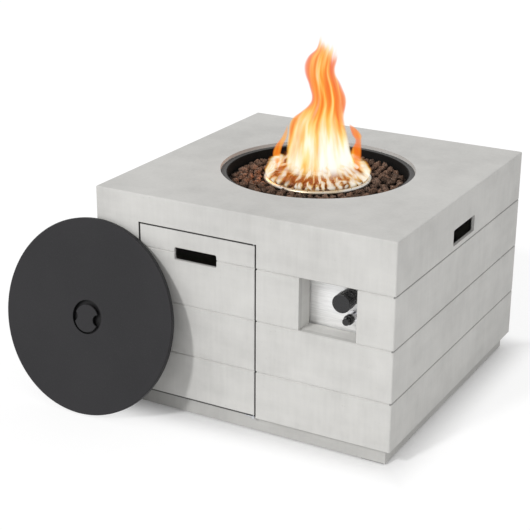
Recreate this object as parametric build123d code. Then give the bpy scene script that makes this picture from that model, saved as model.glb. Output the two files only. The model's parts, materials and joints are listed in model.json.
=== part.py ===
from build123d import *
import os
from math import atan2, cos, degrees, floor, hypot, pi, radians, sin

# Square gas fire table with a lift-off lid that leans against its front.
# Millimetres, +Z up. The origin is on the floor at the centre of the cabinet.
# The front, with the tank door and the controls, faces -Y; +X is to its right.

# Cabinet
side = 813.0  # plan size, both ways
height = 570.0  # floor to table top
wall = 16.0  # cement boards
top_thickness = 25.0
corner_round = 4.0
top_round = 3.5
plank_height = 133.0  # from the table top down to each false seam in turn
seam_count = 3
seam_height = 5.0
seam_depth = 3.0
post_side = 40.0

# Plinth and feet
foot_height = 4.0
foot_side = 60.0
foot_inset = 5.0  # from the plinth's outer faces
plinth_height = 42.0
plinth_inset = 18.0  # from the cabinet's outer faces
plinth_rail = 20.0
base_thickness = 12.0

# Hand slots in the two side boards
hand_slot_width = 138.0
hand_slot_height = 42.0
hand_slot_drop = 98.0  # table top to the middle of the slot
slot_round = 5.0
slot_lip = 8.0  # board left round a slot, thinned by a pocket behind it
slot_pocket_side = 20.0
slot_pocket_rise = 9.0

# Tank door
door_centre = -117.0
door_opening_width = 330.0
door_opening_drop = 72.0  # table top to the opening's top edge
door_gap = 4.0
door_bottom_gap = 5.5
door_round = 2.5  # edges of its face
door_slot_centre = -120.0
door_slot_width = 119.0
door_slot_height = 32.0
door_slot_drop = 135.0
pivot_offset = 5.0  # pivot axis from the door's edge and from its face
pin_radius = 2.0
pin_clearance = 0.05
pin_depth = 14.0  # in the door
pin_end_gap = 1.0  # left beyond each pin's end
bush_length = 12.0
bush_wall = 1.5
pivot_plate = 2.5
pivot_boss_length = 5.0
pivot_boss_wall = 2.5
pivot_plate_width = 26.0
pivot_plate_reach = 15.0  # over the plinth rail
pivot_plate_setback = 0.5  # behind the boss
catch_height = 40.0
catch_width = 14.0  # of the magnet block behind the door
catch_depth = 15.0
catch_lug_width = 18.0
catch_lug = 5.0
catch_gap = 0.3
strike_thickness = 1.0
strike_width = 18.0

# Tank seat
tank_radius = 155.0
tank_clearance = 15.0  # tank to the inner face of the door
tank_ring_radius = 106.0  # inside
tank_ring_wall = 3.0
tank_ring_height = 18.0
tank_tab = 16.0
tank_tab_thickness = 2.0
tank_tab_count = 3
tank_tab_turn = 90.0
tank_tab_overlap = 1.0  # into the ring's wall

# Fire bowl
flange_drop = 8.5  # table top to the flange of the pan
flange_radius = 249.0
flange_clearance = 1.5
pan_radius = 233.0  # inside
pan_depth = 64.0
pan_sheet = 1.5
pan_clearance = 3.0
pan_lip_round = 1.2
shield_radius = 130.0
shield_sheet = 1.0
shield_gap = 8.0
shield_stud_radius = 5.0
shield_stud_place = 100.0
shield_stud_count = 4
shield_stud_turn = 45.0

# Burner and gas train under the bowl
burner_drop = 19.5  # table top to the top of the burner ring
ring_radius = 139.0  # outside
ring_tube = 5.5
spoke_tube = 4.5
hub_radius = 15.0
hub_height = 22.0
hub_chamfer = 2.0
nipple_radius = 10.5
nipple_wall = 3.0
nipple_engagement = 8.0
nipple_hole_clearance = 0.7
nipple_tail = 26.0  # below the heat shield
nut_height = 8.0
nut_radius = 17.0  # across corners
mixer_radius = 14.0
mixer_height = 30.0
mixer_window = 9.0
elbow_radius = 11.0
elbow_height = 26.0
elbow_port_radius = 8.5
elbow_gas_way = 2.5
pipe_radius = 5.0
pipe_engagement = 6.0
pipe_bend = 30.0
pipe_nut_length = 12.0
pipe_nut_radius = 9.5
pipe_back_length = 60.0  # distance from the burner axis at which the pipe turns across

# Igniter and flame sensor beside the burner ring
sensor_angle = 100.0
sensor_offset = 11.0  # rods from the ring
sensor_spread = 18.0  # between the two rods
sensor_plate = 2.0
sensor_plate_length = 36.0
electrode_radius = 3.0
electrode_tip_radius = 1.0
electrode_tip = 6.0
thermocouple_radius = 2.5
sensor_tail = 12.0  # below the pan
sensor_hole_clearance = 0.3
sensor_top_drop = 20.0  # below the table top

# Lava rock
bed_depth = 32.5
bed_clearance = 0.3
bed_hole_clearance = 9.0
rock_pitch = 30.0
rock_clearance = 1.0
rock_fill = 0.94  # of the pitch that the largest rock takes
rock_heights = (17.0, 20.0, 23.0, 18.5, 21.5)
rock_roughness = 0.16  # how far a corner may fall short, as a share of its reach
rock_sections = ((0, 0.8), (0.45, 1), (1, 0.55))  # share of the height, share of the width
rock_row_turn = 17.0  # from one row to the next
rock_turn = 67.0  # from one rock to the next

# Control niche
niche_centre = 237.0
niche_width = 150.0
niche_depth = 63.0
liner = 12.0
niche_groove = 6.0  # of the liner's depth, next to the plate
niche_groove_depth = 3.0
plate_sheet = 1.5
knob_from_centre = 30.0
knob_drop = 179.0
knob_radius = 23.0
knob_length = 31.0
knob_face_round = 1.5
knob_flute = 2.4
knob_flute_count = 18
knob_smooth = 7.0
knob_hub_radius = 8.0
knob_travel = 3.5
bezel_radius = 21.5
bezel_length = 19.0
bezel_chamfer = 2.0
bezel_gap = 4.5  # bezel to the back of the knob
collar_radius = 10.0
collar_length = 6.0
running_clearance = 0.05
touch_gap = 0.3
stem_radius = 4.0
stem_in_knob = 18.0
stem_in_valve = 20.0
valve_nose_radius = 9.0
valve_nose_length = 8.0
valve_flange_radius = 19.0
valve_flange = 6.0
valve_width = 30.0
valve_height = 38.0
valve_length = 40.0
valve_port_radius = 9.0
valve_port_length = 10.0
inlet_radius = 7.94  # 5/8 inch flare thread
inlet_length = 15.0
inlet_hex = 3.0
inlet_bore = 3.5
igniter_from_centre = 40.0
igniter_drop = 225.0
neck_radius = 10.0
neck_hole_clearance = 0.2
barrel_radius = 12.5
barrel_length = 46.0
igniter_nut = 5.0
igniter_nut_radius = 15.0
cap_radius = 12.3
cap_from_plate = 36.0  # plate to the front of the cap
cap_length = 12.0
cap_round = 2.5
neck_in_cap = 4.0
button_radius = 9.0
button_reach = 13.0  # out of the cap
button_stem_radius = 6.0
button_stem_in_neck = 12.0
button_travel = 5.0
button_round = 2.0

# Lid, leaning back on the front of the cabinet
lid_radius = 249.5
lid_depth = 12.0
lid_sheet = 1.5
lid_edge_round = 3.0
lid_tilt = 13.3  # degrees from upright
lid_centre = -398.5
lid_gap = 0.3  # to the front of the cabinet
lid_floor_gap = 0.2
cup_radius = 44.0
cup_sheet = 1.2
cup_depth = 11.0
cup_flange = 7.0
grip_radius = 35.0
grip_thickness = 4.0
grip_rise = 2.5  # face of the grip above the face of the lid
grip_sag = 3.5  # middle of the disc below the middle of its cup
grip_notch_radius = 14.5
grip_left_notch = 8.0
grip_right_notch = 15.5
grip_post_radius = 12.0
grip_edge = 1.0

# Screws
screw_radius = 2.0
screw_length = 12.0
screw_head_radius = 4.0
screw_head = 2.5
screw_edge = 1.0  # head to the edge of a small plate

# Cutting tools run this far past the faces that they cut
over = 1.0

# Places that follow from the sizes
half = side / 2
inner = half - wall
front = -half
front_inside = -inner
body_bottom = foot_height + plinth_height
under_top = height - top_thickness
seams = [height - plank_height * (i + 1) for i in range(seam_count)]
plinth_half = half - plinth_inset
rail_inside = plinth_half - plinth_rail
base_top = foot_height + base_thickness

opening_left = door_centre - door_opening_width / 2
opening_right = door_centre + door_opening_width / 2
opening_top = height - door_opening_drop
door_left = opening_left + door_gap
door_right = opening_right - door_gap
door_top = opening_top - door_gap
door_bottom = body_bottom + door_bottom_gap
pivot_x = door_right - pivot_offset
pivot_y = front + pivot_offset
pin_hole = pin_radius + pin_clearance
bush_radius = pin_hole + bush_wall
catch_z = (door_bottom + door_top) / 2

tank_y = front_inside + tank_clearance + tank_radius

flange_top = height - flange_drop
floor_top = flange_top - pan_depth
floor_bottom = floor_top - pan_sheet
shield_top = floor_bottom - shield_gap
shield_bottom = shield_top - shield_sheet
ring_centre = ring_radius - ring_tube
ring_z = height - burner_drop - ring_tube
hub_bottom = ring_z - hub_height / 2
nipple_bottom = shield_bottom - nipple_tail
nipple_hole = nipple_radius + nipple_hole_clearance
mixer_bottom = nipple_bottom + nipple_engagement - mixer_height
pipe_z = mixer_bottom - elbow_height / 2
bed_top = floor_top + bed_depth
sensor_top = height - sensor_top_drop
sensor_place = ring_radius + sensor_offset

niche_left = niche_centre - niche_width / 2
niche_right = niche_centre + niche_width / 2
niche_top = seams[0]
niche_bottom = seams[1]
plate_front = front + niche_depth
plate_back = plate_front + plate_sheet
knob_x = niche_centre + knob_from_centre
knob_z = height - knob_drop
bezel_front = plate_front - bezel_length
collar_front = bezel_front + touch_gap
collar_bore = stem_radius + running_clearance
knob_back = bezel_front - bezel_gap
valve_back = plate_back + valve_flange + valve_length
igniter_x = niche_centre + igniter_from_centre
igniter_z = height - igniter_drop
cap_front = plate_front - cap_from_plate
neck_front = cap_front + cap_length - neck_in_cap
button_front = cap_front - button_reach
button_shoulder = neck_front - button_travel - touch_gap
stem_bore = button_stem_radius + running_clearance
side_port_y = plate_back + valve_flange + valve_length / 2
side_port_length = valve_width / 2 + valve_port_length

lid_y = front - lid_gap - lid_depth * cos(radians(lid_tilt)) - lid_radius * sin(radians(lid_tilt))
lid_z = lid_floor_gap + lid_radius * cos(radians(lid_tilt)) + lid_depth * sin(radians(lid_tilt))
lid_place = Pos(lid_centre, lid_y, lid_z) * Rot(90 - lid_tilt, 0, 0)

right_way = (1, 0, 0)
left_way = (-1, 0, 0)
back_way = (0, 1, 0)
front_way = (0, -1, 0)
up_way = (0, 0, 1)
down_way = (0, 0, -1)
from_base = (Align.CENTER, Align.CENTER, Align.MIN)


def block(x, y, z):
    """A box given by its low and high ends along X, Y and Z."""
    size = Box(x[1] - x[0], y[1] - y[0], z[1] - z[0])
    return Pos((x[0] + x[1]) / 2, (y[0] + y[1]) / 2, (z[0] + z[1]) / 2) * size


def rod(start, way, length, radius):
    """A round bar that runs from its start point."""
    return Plane(origin=start, z_dir=way) * Cylinder(radius, length, align=from_base)


def tube(start, way, length, outside, inside):
    return rod(start, way, length, outside) - rod(start, way, length, inside)


def hexagon(start, way, length, corners, inside):
    """A hexagonal nut round a bore."""
    flats = extrude(RegularPolygon(corners, 6), length)
    return Plane(origin=start, z_dir=way) * flats - rod(start, way, length, inside)


def turned(*points):
    """A solid of revolution about Z from its (radius, z) outline."""
    outline = Polyline(*[(r, 0, z) for r, z in points], close=True)
    return revolve(make_face(outline), Axis.Z)


def rounded_block(x, y, z, axis, radius):
    """A box whose edges along one axis are rounded."""
    plain = block(x, y, z)
    return fillet(plain.edges().filter_by(axis), radius)


def around(radius, count, start=0.0):
    """Points evenly spaced round the Z axis, with the angle of each."""
    angles = [start + 360 * i / count for i in range(count)]
    return [(radius * cos(radians(a)), radius * sin(radians(a)), a) for a in angles]


# Fasteners: identical pan-head screws, each given by the seat of its head


def screw(seat, way):
    shank = rod(seat, way, screw_length, screw_radius)
    head = rod(seat, tuple(-n for n in way), screw_head, screw_head_radius)
    return shank + head


def plate_screw_seats():
    columns = (niche_left - liner / 2, niche_right + liner / 2)
    rows = (niche_bottom + liner, niche_top - liner)
    return [((x, plate_back, z), front_way) for x in columns for z in rows]


def pivot_screw_seats():
    y = front + plinth_inset + pivot_plate_reach / 2
    middle = pivot_x + pivot_boss_wall + pin_hole - pivot_plate_width / 2
    spread = pivot_plate_width / 2 - screw_head_radius - screw_edge
    return [((middle + s * spread, y, body_bottom + pivot_plate), down_way) for s in (-1, 1)]


def catch_screw_seats():
    x = opening_left - catch_lug_width / 2
    spread = catch_height / 2 - screw_head_radius * 2
    return [((x, front_inside + catch_lug, catch_z + s * spread), front_way) for s in (-1, 1)]


def tank_screw_seats():
    place = tank_ring_radius + tank_ring_wall + tank_tab / 2
    z = base_top + tank_tab_thickness
    places = around(place, tank_tab_count, tank_tab_turn)
    return [((door_centre + x, tank_y + y, z), down_way) for x, y, _ in places]


screws = [screw(*seat) for seat in plate_screw_seats() + pivot_screw_seats()]
screws += [screw(*seat) for seat in catch_screw_seats() + tank_screw_seats()]


def drilled(solid):
    """The solid with a hole for each screw that enters it."""
    for item in screws:
        solid = solid - item
    return solid


# Cabinet boards, cut from one grooved block so that the seams line up


def seam_ring(z):
    """A V-shaped groove all the way round at one height."""
    slope = degrees(atan2(seam_depth, seam_height / 2))
    lower = extrude(Rectangle(side, side), seam_height / 2, taper=slope)
    core = lower + mirror(lower, Plane.XY.offset(seam_height / 2))
    ring = extrude(Rectangle(side + wall, side + wall), seam_height) - core
    return Pos(0, 0, z - seam_height / 2) * ring


def cabinet_block():
    solid = block((-half, half), (-half, half), (body_bottom, height))
    solid = fillet(solid.edges().filter_by(Axis.Z), corner_round)
    solid = fillet(solid.faces().sort_by(Axis.Z)[-1].edges(), top_round)
    for z in seams:
        solid = solid - seam_ring(z)
    return solid


shell = cabinet_block()


def top_slab():
    slab = shell & block((-side, side), (-side, side), (under_top, height + wall))
    seat = flange_top - pan_sheet
    rebate = rod((0, 0, seat), up_way, height, flange_radius + flange_clearance)
    opening = rod((0, 0, 0), up_way, height + wall, pan_radius + pan_sheet + pan_clearance)
    return slab - rebate - opening


def front_panel():
    panel = shell & block((-side, side), (-side, front_inside), (0, under_top))
    opening = block((opening_left, opening_right), (-side, 0), (0, opening_top))
    niche = block((niche_left, niche_right), (-side, 0), (niche_bottom, niche_top))
    bush = rod((pivot_x, pivot_y, opening_top), up_way, bush_length, bush_radius)
    return drilled(panel - opening - niche - bush)


def back_panel():
    return shell & block((-side, side), (inner, side), (0, under_top))


def hand_slot(width, tall):
    """A slot through a board whose face is at y = 0, with a pocket behind it."""
    across = (-width / 2, width / 2)
    upright = (-tall / 2, tall / 2)
    slot = rounded_block(across, (-over, wall + over), upright, Axis.Y, slot_round)
    pocket_across = (-width / 2 - slot_pocket_side, width / 2 + slot_pocket_side)
    pocket_upright = (-tall / 2 - slot_pocket_rise, tall / 2 + slot_pocket_rise)
    return slot + block(pocket_across, (slot_lip, wall + over), pocket_upright)


def side_panel(hand):
    """The right board for a hand of 1, the left board for -1."""
    board = shell & block(sorted((hand * inner, hand * side)), (-inner, inner), (0, under_top))
    middle = height - hand_slot_drop
    slot = hand_slot(hand_slot_width, hand_slot_height)
    return board - Pos(hand * half, 0, middle) * Rot(0, 0, 90 * hand) * slot


def corner_posts():
    place = inner - post_side / 2
    post = Box(post_side, post_side, under_top - body_bottom, align=from_base)
    return [Pos(x * place, y * place, body_bottom) * post for x in (-1, 1) for y in (-1, 1)]


def plinth_rails():
    """Front, back, left and right rails of the plinth."""
    tall = (foot_height, body_bottom)
    across = (-plinth_half, plinth_half)
    between = (-rail_inside, rail_inside)
    near = (-plinth_half, -rail_inside)
    far = (rail_inside, plinth_half)
    return {
        "plinth_front": drilled(block(across, near, tall)),
        "plinth_back": block(across, far, tall),
        "plinth_left": block(near, between, tall),
        "plinth_right": block(far, between, tall),
    }


def base_board():
    span = (-rail_inside, rail_inside)
    return drilled(block(span, span, (foot_height, base_top)))


def feet():
    """A pad under each corner of the plinth and one under the middle of the base board."""
    place = plinth_half - foot_inset - foot_side / 2
    pad = Box(foot_side, foot_side, foot_height, align=from_base)
    return [pad] + [Pos(x * place, y * place, 0) * pad for x in (-1, 1) for y in (-1, 1)]


def tank_ring():
    """A low ring that the tank's foot stands in, with tabs for its screws."""
    inside = tank_ring_radius
    outside = inside + tank_ring_wall
    ring = tube((0, 0, 0), up_way, tank_ring_height, outside, inside)
    length = tank_tab + tank_tab_overlap
    for x, y, angle in around(outside + tank_tab - length / 2, tank_tab_count, tank_tab_turn):
        tab = Box(length, tank_tab, tank_tab_thickness, align=from_base)
        ring = ring + Pos(x, y, 0) * Rot(0, 0, angle) * tab
    ring = ring - rod((0, 0, 0), up_way, tank_ring_height, inside)
    return drilled(Pos(door_centre, tank_y, base_top) * ring)


# Door


def door_panel():
    board = block((door_left, door_right), (front, front_inside), (door_bottom, door_top))
    board = fillet(board.faces().sort_by(Axis.Y)[0].edges(), door_round)
    slot = hand_slot(door_slot_width, door_slot_height)
    panel = (shell & board) - Pos(door_slot_centre, front, height - door_slot_drop) * slot
    for pin in pivot_pins():
        panel = panel - pin
    return panel


def pivot_pins():
    top_length = pin_depth + door_gap + bush_length - pin_end_gap
    top = rod((pivot_x, pivot_y, door_top - pin_depth), up_way, top_length, pin_radius)
    low_end = body_bottom - pivot_boss_length + pin_end_gap
    low_length = door_bottom + pin_depth - low_end
    low = rod((pivot_x, pivot_y, low_end), up_way, low_length, pin_radius)
    return [top, low]


def pivot_bush():
    return tube((pivot_x, pivot_y, opening_top), up_way, bush_length, bush_radius, pin_hole)


def pivot_bracket():
    """A plate under the door's edge, screwed to the plinth, with a boss for the lower pin."""
    boss_radius = pin_hole + pivot_boss_wall
    right = pivot_x + boss_radius
    near = pivot_y - boss_radius + pivot_plate_setback
    depth = (near, front + plinth_inset + pivot_plate_reach)
    tall = (body_bottom, body_bottom + pivot_plate)
    plate = block((right - pivot_plate_width, right), depth, tall)
    boss = rod((pivot_x, pivot_y, body_bottom), down_way, pivot_boss_length, boss_radius)
    bore = rod((pivot_x, pivot_y, 0), up_way, height, pin_hole)
    return drilled(plate + boss - bore)


def magnet_catch():
    """A magnet block behind the door's free edge, on a lug screwed to the front board."""
    tall = (catch_z - catch_height / 2, catch_z + catch_height / 2)
    near = front_inside + strike_thickness + catch_gap
    magnet = block((opening_left, door_left + catch_width), (near, near + catch_depth), tall)
    lug_ends = (opening_left - catch_lug_width, opening_left)
    lug = block(lug_ends, (front_inside, front_inside + catch_lug), tall)
    return drilled(magnet + lug)


def strike_plate():
    tall = (catch_z - catch_height / 2, catch_z + catch_height / 2)
    across = (door_left, door_left + strike_width)
    return block(across, (front_inside, front_inside + strike_thickness), tall)


# Fire bowl


def sensor_points():
    """Places of the igniter electrode and of the thermocouple, beside the ring."""
    turn = radians(sensor_angle)
    outward = (cos(turn), sin(turn))
    along = (-sin(turn), cos(turn))
    places = []
    for shift in (-sensor_spread / 2, sensor_spread / 2):
        x = sensor_place * outward[0] + shift * along[0]
        y = sensor_place * outward[1] + shift * along[1]
        places.append((x, y))
    return places


def sensor_holes(depth_from, depth_to):
    radii = (electrode_radius, thermocouple_radius)
    holes = []
    for (x, y), radius in zip(sensor_points(), radii):
        start = (x, y, depth_from - over)
        length = depth_to - depth_from + 2 * over
        holes.append(rod(start, up_way, length, radius + sensor_hole_clearance))
    return holes


def fire_pan():
    wall_outside = pan_radius + pan_sheet
    flange_bottom = flange_top - pan_sheet
    pan = turned(
        (nipple_hole, floor_bottom),
        (wall_outside, floor_bottom),
        (wall_outside, flange_bottom),
        (flange_radius, flange_bottom),
        (flange_radius, flange_top),
        (pan_radius, flange_top),
        (pan_radius, floor_top),
        (nipple_hole, floor_top),
    )
    rim = pan.faces().sort_by(Axis.Z)[-1].edges()
    pan = fillet(rim, pan_lip_round)
    for hole in sensor_holes(floor_bottom, floor_top):
        pan = pan - hole
    return pan


def heat_shield():
    return tube((0, 0, shield_bottom), up_way, shield_sheet, shield_radius, nipple_hole)


def shield_studs():
    stud = rod((0, 0, shield_top), up_way, shield_gap, shield_stud_radius)
    places = around(shield_stud_place, shield_stud_count, shield_stud_turn)
    return [Pos(x, y, 0) * stud for x, y, _ in places]


def burner_ring():
    return Pos(0, 0, ring_z) * Torus(ring_centre, ring_tube)


def burner_spokes():
    spoke = rod((0, 0, ring_z), right_way, ring_centre, spoke_tube)
    spoke = spoke - burner_ring() - rod((0, 0, hub_bottom), up_way, hub_height, hub_radius)
    return [spoke, Rot(0, 0, 180) * spoke]


def burner_hub():
    hub = rod((0, 0, hub_bottom), up_way, hub_height, hub_radius)
    hub = chamfer(hub.faces().sort_by(Axis.Z)[-1].edges(), hub_chamfer)
    return hub - rod((0, 0, hub_bottom), up_way, nipple_engagement, nipple_radius)


def inlet_nipple():
    length = hub_bottom + nipple_engagement - nipple_bottom
    return tube((0, 0, nipple_bottom), up_way, length, nipple_radius, nipple_radius - nipple_wall)


def nipple_nuts():
    """One nut on the floor of the pan and one under the heat shield."""
    upper = hexagon((0, 0, floor_top), up_way, nut_height, nut_radius, nipple_radius)
    lower = hexagon((0, 0, shield_bottom), down_way, nut_height, nut_radius, nipple_radius)
    return [upper, lower]


def air_mixer():
    mixer = rod((0, 0, mixer_bottom), up_way, mixer_height, mixer_radius)
    socket = rod((0, 0, nipple_bottom), up_way, mixer_height, nipple_radius)
    throat = rod((0, 0, mixer_bottom), up_way, mixer_height, nipple_radius - nipple_wall)
    middle = (mixer_bottom + nipple_bottom) / 2
    tall = (middle - mixer_window / 2, middle + mixer_window / 2)
    across = (-mixer_window / 2, mixer_window / 2)
    window = block(across, (-mixer_radius * 2, mixer_radius * 2), tall)
    return mixer - socket - throat - window


def gas_elbow():
    """The block below the air mixer that the gas pipe enters from the right."""
    body = rod((0, 0, mixer_bottom), down_way, elbow_height, elbow_radius)
    port = rod((0, 0, pipe_z), right_way, elbow_radius + pipe_engagement, elbow_port_radius)
    solid = body + port - rod((elbow_radius, 0, pipe_z), right_way, height, pipe_radius)
    return solid - rod((0, 0, pipe_z), up_way, elbow_height, elbow_gas_way)


def pipe_route():
    start = (knob_x, valve_back + valve_port_length - pipe_engagement, knob_z)
    first = (knob_x, -pipe_back_length, knob_z)
    second = (knob_x - pipe_back_length, 0, pipe_z)
    return [start, first, second, (elbow_radius, 0, pipe_z)]


def gas_pipe():
    path = FilletPolyline(*pipe_route(), radius=pipe_bend)
    section = Plane(origin=pipe_route()[0], z_dir=back_way) * Circle(pipe_radius)
    return sweep(section, path)


def pipe_nuts():
    """Compression nuts where the pipe enters the elbow and where it leaves the valve."""
    at_elbow = (elbow_radius + pipe_engagement, 0, pipe_z)
    at_valve = (knob_x, valve_back + valve_port_length, knob_z)
    return [
        hexagon(at_elbow, right_way, pipe_nut_length, pipe_nut_radius, pipe_radius),
        hexagon(at_valve, back_way, pipe_nut_length, pipe_nut_radius, pipe_radius),
    ]


def sensor_bracket():
    """A small plate clipped to the ring that holds both rods."""
    reach = (ring_centre, sensor_place + sensor_offset / 2)
    width = (-sensor_plate_length / 2, sensor_plate_length / 2)
    plate = block(reach, width, (ring_z - sensor_plate / 2, ring_z + sensor_plate / 2))
    plate = Rot(0, 0, sensor_angle) * plate - burner_ring()
    return plate - electrode() - thermocouple()


def electrode():
    """Ceramic rod with a thin metal tip."""
    x, y = sensor_points()[0]
    bottom = floor_bottom - sensor_tail
    ceramic = rod((x, y, bottom), up_way, sensor_top - bottom, electrode_radius)
    return ceramic + rod((x, y, sensor_top), up_way, electrode_tip, electrode_tip_radius)


def thermocouple():
    x, y = sensor_points()[1]
    bottom = floor_bottom - sensor_tail
    return rod((x, y, bottom), up_way, sensor_top - bottom, thermocouple_radius)


def lava_bed():
    """The lower rock, up to the level that the loose top layer lies on."""
    hole = hub_radius + bed_hole_clearance
    bed = tube((0, 0, floor_top), up_way, bed_depth, pan_radius - bed_clearance, hole)
    for gap in sensor_holes(floor_top, bed_top):
        bed = bed - gap
    return bed


def rock_shape(index):
    """A faceted lump on a flat foot, as wide as the pitch allows."""
    tall = rock_heights[index % len(rock_heights)]
    corners = 6 + index % 2
    widest = rock_pitch * rock_fill / 2
    outline = []
    for i in range(corners):
        angle = radians(360 * i / corners)
        reach = widest * (1 - rock_roughness * abs(sin(2.3 * i + 1.7 * index)))
        outline.append((reach * cos(angle), reach * sin(angle)))
    sections = []
    for level, share in rock_sections:
        corner_points = [(share * x, share * y, level * tall) for x, y in outline]
        sections.append(make_face(Polyline(*corner_points, close=True)))
    return loft(sections, ruled=True)


def rock_rows():
    """Radii of the rows of rock inside and outside the burner ring."""
    rows = []
    inner_zone = (hub_radius + bed_hole_clearance, ring_radius - 2 * ring_tube)
    for low, high in (inner_zone, (ring_radius, pan_radius)):
        width = high - low - 2 * rock_clearance
        count = max(1, floor(width / rock_pitch))
        step = width / count
        rows += [low + rock_clearance + step * (i + 0.5) for i in range(count)]
    return rows


def is_free(x, y):
    """Whether a rock at this place stays clear of the spokes and of the sensor rods."""
    reach = rock_pitch / 2
    over_spoke = hypot(x, y) < ring_radius and abs(y) < spoke_tube + reach
    turn = radians(-sensor_angle)
    out = x * cos(turn) - y * sin(turn)
    along = x * sin(turn) + y * cos(turn)
    near_sensor = abs(along) < sensor_plate_length / 2 + reach
    near_sensor = near_sensor and ring_radius < out < sensor_place + sensor_offset + reach
    return not over_spoke and not near_sensor


def lava_rocks():
    shapes = [rock_shape(i) for i in range(len(rock_heights))]
    rocks = []
    for row, radius in enumerate(rock_rows()):
        count = floor(2 * pi * radius / rock_pitch)
        for x, y, angle in around(radius, count, rock_row_turn * row):
            if is_free(x, y):
                index = len(rocks)
                turn = Rot(0, 0, angle + rock_turn * index)
                rocks.append(Pos(x, y, bed_top) * turn * shapes[index % len(shapes)])
    return rocks


# Control niche


def niche_liner():
    """Four boards that line the niche, with a groove all round next to the plate."""
    depth = (front_inside, plate_front)
    tall = (niche_bottom - liner, niche_top + liner)
    across = (niche_left, niche_right)
    boards = [
        block((niche_left - liner, niche_left), depth, tall),
        block((niche_right, niche_right + liner), depth, tall),
        block(across, depth, (niche_bottom - liner, niche_bottom)),
        block(across, depth, (niche_top, niche_top + liner)),
    ]
    groove = block(
        (niche_left - niche_groove_depth, niche_right + niche_groove_depth),
        (plate_front - niche_groove, plate_front),
        (niche_bottom - niche_groove_depth, niche_top + niche_groove_depth),
    )
    return [drilled(board - groove) for board in boards]


def control_plate():
    across = (niche_left - liner, niche_right + liner)
    plate = block(across, (plate_front, plate_back), (niche_bottom - liner, niche_top + liner))
    valve_hole = valve_nose_radius + neck_hole_clearance
    igniter_hole = neck_radius + neck_hole_clearance
    plate = plate - rod((knob_x, -side, knob_z), back_way, side, valve_hole)
    plate = plate - rod((igniter_x, -side, igniter_z), back_way, side, igniter_hole)
    return drilled(plate)


def knob_bezel():
    start = (knob_x, plate_front, knob_z)
    bore = collar_radius + running_clearance
    ring = tube(start, front_way, bezel_length, bezel_radius, bore)
    outer_edge = ring.faces().sort_by(Axis.Y)[0].edges().sort_by(SortBy.LENGTH)[-1]
    return chamfer(outer_edge, bezel_chamfer)


def valve_body():
    centre = (knob_x, plate_back, knob_z)
    nose = rod(centre, front_way, plate_sheet + valve_nose_length, valve_nose_radius)
    flange = rod(centre, back_way, valve_flange, valve_flange_radius)
    across = (knob_x - valve_width / 2, knob_x + valve_width / 2)
    tall = (knob_z - valve_height / 2, knob_z + valve_height / 2)
    body = block(across, (plate_back, valve_back), tall)
    port = rod((knob_x, valve_back, knob_z), back_way, valve_port_length, valve_port_radius)
    side_port = rod((knob_x, side_port_y, knob_z), left_way, side_port_length, valve_port_radius)
    solid = nose + flange + body + port + side_port
    bore_length = plate_sheet + valve_nose_length + stem_in_valve + knob_travel + touch_gap
    bore_start = (knob_x, plate_front - valve_nose_length, knob_z)
    solid = solid - rod(bore_start, back_way, bore_length, collar_bore)
    return solid - rod(pipe_route()[0], back_way, height, pipe_radius)


def gas_inlet():
    """Flare fitting that the tank's hose screws on to."""
    start = (knob_x - side_port_length, side_port_y, knob_z)
    collar = hexagon(start, left_way, inlet_hex, pipe_nut_radius, inlet_bore)
    end = (start[0] - inlet_hex, start[1], start[2])
    return collar + tube(end, left_way, inlet_length, inlet_radius, inlet_bore)


def igniter_body():
    """The neck, hollow for the button's stem, and the barrel behind the plate."""
    centre = (igniter_x, plate_back, igniter_z)
    neck = rod(centre, front_way, plate_back - neck_front, neck_radius)
    body = neck + rod(centre, back_way, barrel_length, barrel_radius)
    bore_length = button_stem_in_neck + button_travel + touch_gap
    return body - rod((igniter_x, neck_front, igniter_z), back_way, bore_length, stem_bore)


def igniter_ring():
    start = (igniter_x, plate_front, igniter_z)
    return hexagon(start, front_way, igniter_nut, igniter_nut_radius, neck_radius)


def igniter_cap():
    """The ring on the neck's end that guides the button."""
    start = (igniter_x, cap_front, igniter_z)
    cap = rod(start, back_way, cap_length, cap_radius)
    cap = fillet(cap.faces().sort_by(Axis.Y)[0].edges(), cap_round)
    seat = rod((igniter_x, neck_front, igniter_z), back_way, neck_in_cap, neck_radius)
    bore = button_radius + running_clearance
    return cap - seat - rod(start, back_way, cap_length - neck_in_cap, bore)


def igniter_button():
    start = (igniter_x, button_front, igniter_z)
    button = rod(start, back_way, button_shoulder - button_front, button_radius)
    button = fillet(button.faces().sort_by(Axis.Y)[0].edges(), button_round)
    stem_length = neck_front + button_stem_in_neck - button_shoulder
    stem_start = (igniter_x, button_shoulder, igniter_z)
    return button + rod(stem_start, back_way, stem_length, button_stem_radius)


def return_collar():
    """The spring-loaded collar that the knob pushes along the valve stem."""
    start = (knob_x, collar_front, knob_z)
    return tube(start, back_way, collar_length, collar_radius, collar_bore)


def control_knob():
    start = (knob_x, knob_back, knob_z)
    knob = rod(start, front_way, knob_length, knob_radius)
    knob = fillet(knob.faces().sort_by(Axis.Y)[0].edges(), knob_face_round)
    hub_length = collar_front - touch_gap - knob_back
    knob = knob + rod(start, back_way, hub_length, knob_hub_radius)
    for x, z, _ in around(knob_radius + knob_flute / 2, knob_flute_count):
        place = (knob_x + x, knob_back, knob_z + z)
        knob = knob - rod(place, front_way, knob_length - knob_smooth, knob_flute)
    return knob - valve_stem()


def valve_stem():
    start = (knob_x, knob_back - stem_in_knob, knob_z)
    end = plate_back + stem_in_valve
    return rod(start, back_way, end - start[1], stem_radius)


# Lid, modelled flat with its face at z = 0 and then leaned back


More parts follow.
